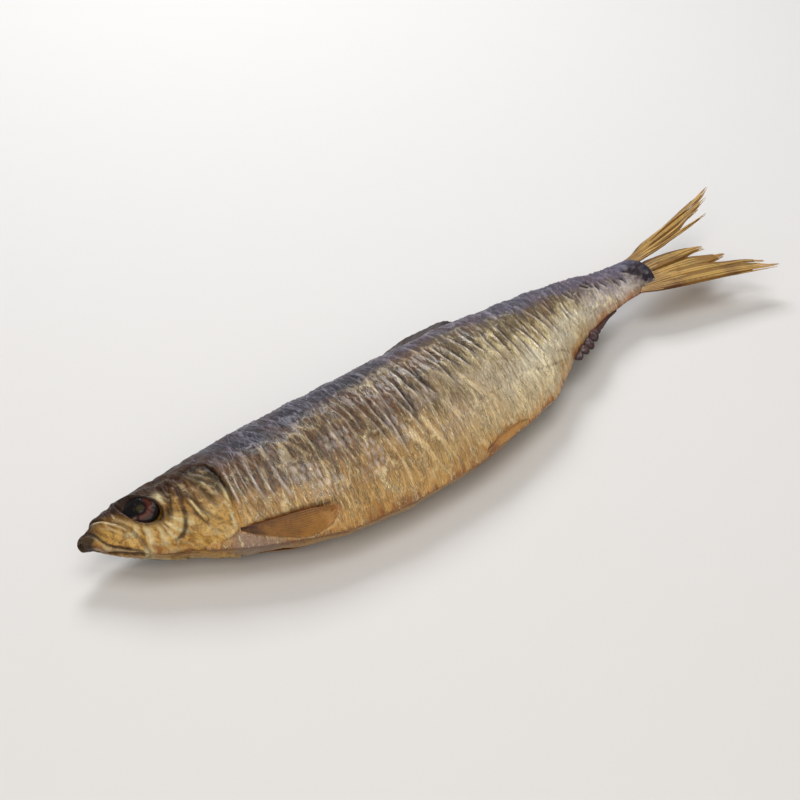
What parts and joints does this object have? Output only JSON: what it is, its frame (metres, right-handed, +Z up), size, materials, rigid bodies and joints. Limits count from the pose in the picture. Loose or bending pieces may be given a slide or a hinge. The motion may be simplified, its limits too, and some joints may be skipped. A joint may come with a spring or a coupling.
{
  "type": "smoked fish",
  "caption": "Whole smoked herring lying on its flank, golden with a dark back, with folded fins and a split forked tail.",
  "frame": {"origin": "on the surface that the fish lies on, under the middle of its box", "axes": "+Z up, out of the left flank; the head points to -X and the tail to +X; the back lies to +Y and the belly to -Y"},
  "size_m": [0.3644, 0.0904, 0.0379],
  "materials": {
    "skin": "oily smoked skin, slate-purple back shading to a golden and silver flank, satin to glossy",
    "eye": "glossy red-brown iris with a dark pupil",
    "fin": "dried translucent fin membrane, orange-brown, satin",
    "tail_fin": "dried fin rays, ochre with paler frayed tips, satin"
  },
  "bodies": {
    "root": {"body": "skin", "left_eye": "eye", "right_eye": "eye", "dorsal_fin": "fin", "anal_fin": "fin", "caudal_fin_upper_lobe": "tail_fin", "caudal_fin_lower_lobe": "tail_fin", "left_pectoral_fin": "fin", "right_pectoral_fin": "fin", "left_pelvic_fin": "fin", "right_pelvic_fin": "fin"}
  },
  "joints": []
}
